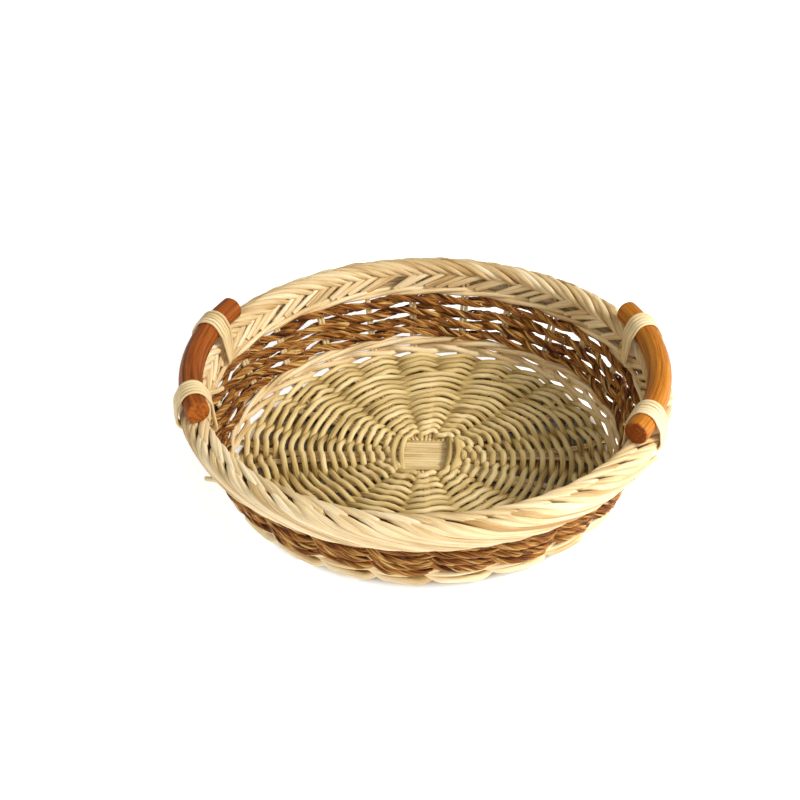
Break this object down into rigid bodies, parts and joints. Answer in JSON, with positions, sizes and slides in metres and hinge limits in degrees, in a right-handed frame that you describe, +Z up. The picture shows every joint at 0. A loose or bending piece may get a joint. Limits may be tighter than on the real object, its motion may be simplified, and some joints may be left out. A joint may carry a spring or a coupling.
{
  "type": "wicker basket",
  "caption": "Shallow round wicker basket with a flared side, a band of brown rope twining, a rolled rod border and two bowed wooden handles lashed on top of the border.",
  "frame": {"origin": "under the middle of the base, on the surface the basket stands on", "axes": "+Z up out of the basket's mouth; the two handles lie on the X axis, one at +X and one at -X; -Y is the front"},
  "size_m": [0.3398, 0.3398, 0.0919],
  "materials": {
    "willow": "satin",
    "frame_rods": "satin",
    "base_weave": "satin",
    "brown_rope": "matte",
    "handle_wood": "semi-gloss",
    "cane": "satin"
  },
  "bodies": {
    "root": {"across_rods_front": "frame_rods", "across_rods_middle": "frame_rods", "across_rods_back": "frame_rods", "through_rods_left": "frame_rods", "through_rods_middle": "frame_rods", "through_rods_right": "frame_rods", "side_stakes_01": "frame_rods", "side_stakes_02": "frame_rods", "side_stakes_03": "frame_rods", "side_stakes_04": "frame_rods", "side_stakes_05": "frame_rods", "side_stakes_06": "frame_rods", "side_stakes_07": "frame_rods", "side_stakes_08": "frame_rods", "side_stakes_09": "frame_rods", "side_stakes_10": "frame_rods", "side_stakes_11": "frame_rods", "side_stakes_12": "frame_rods", "block_binding_left": "base_weave", "block_binding_right": "base_weave", "block_binding_front": "base_weave", "block_binding_back": "base_weave", "base_course_01": "base_weave", "base_course_02": "base_weave", "base_course_03": "base_weave", "base_course_04": "base_weave", "base_course_05": "base_weave", "base_course_06": "base_weave", "base_course_07": "base_weave", "base_course_08": "base_weave", "base_course_09": "base_weave", "base_course_10": "base_weave", "base_course_11": "base_weave", "base_course_12": "base_weave", "base_course_13": "base_weave", "base_course_14": "base_weave", "base_course_15": "base_weave", "base_course_16": "base_weave", "foot_row": "willow", "lower_wale": "willow", "upper_wale": "willow", "border_roll": "willow", "border_apron": "willow", "border_braid": "willow", "rope_row_01": "brown_rope", "rope_row_02": "brown_rope", "rope_row_03": "brown_rope", "rope_row_04": "brown_rope", "handle_left": "handle_wood", "handle_right": "handle_wood", "lashing_left_back": "cane", "lashing_left_front": "cane", "lashing_right_back": "cane", "lashing_right_front": "cane"}
  },
  "joints": []
}
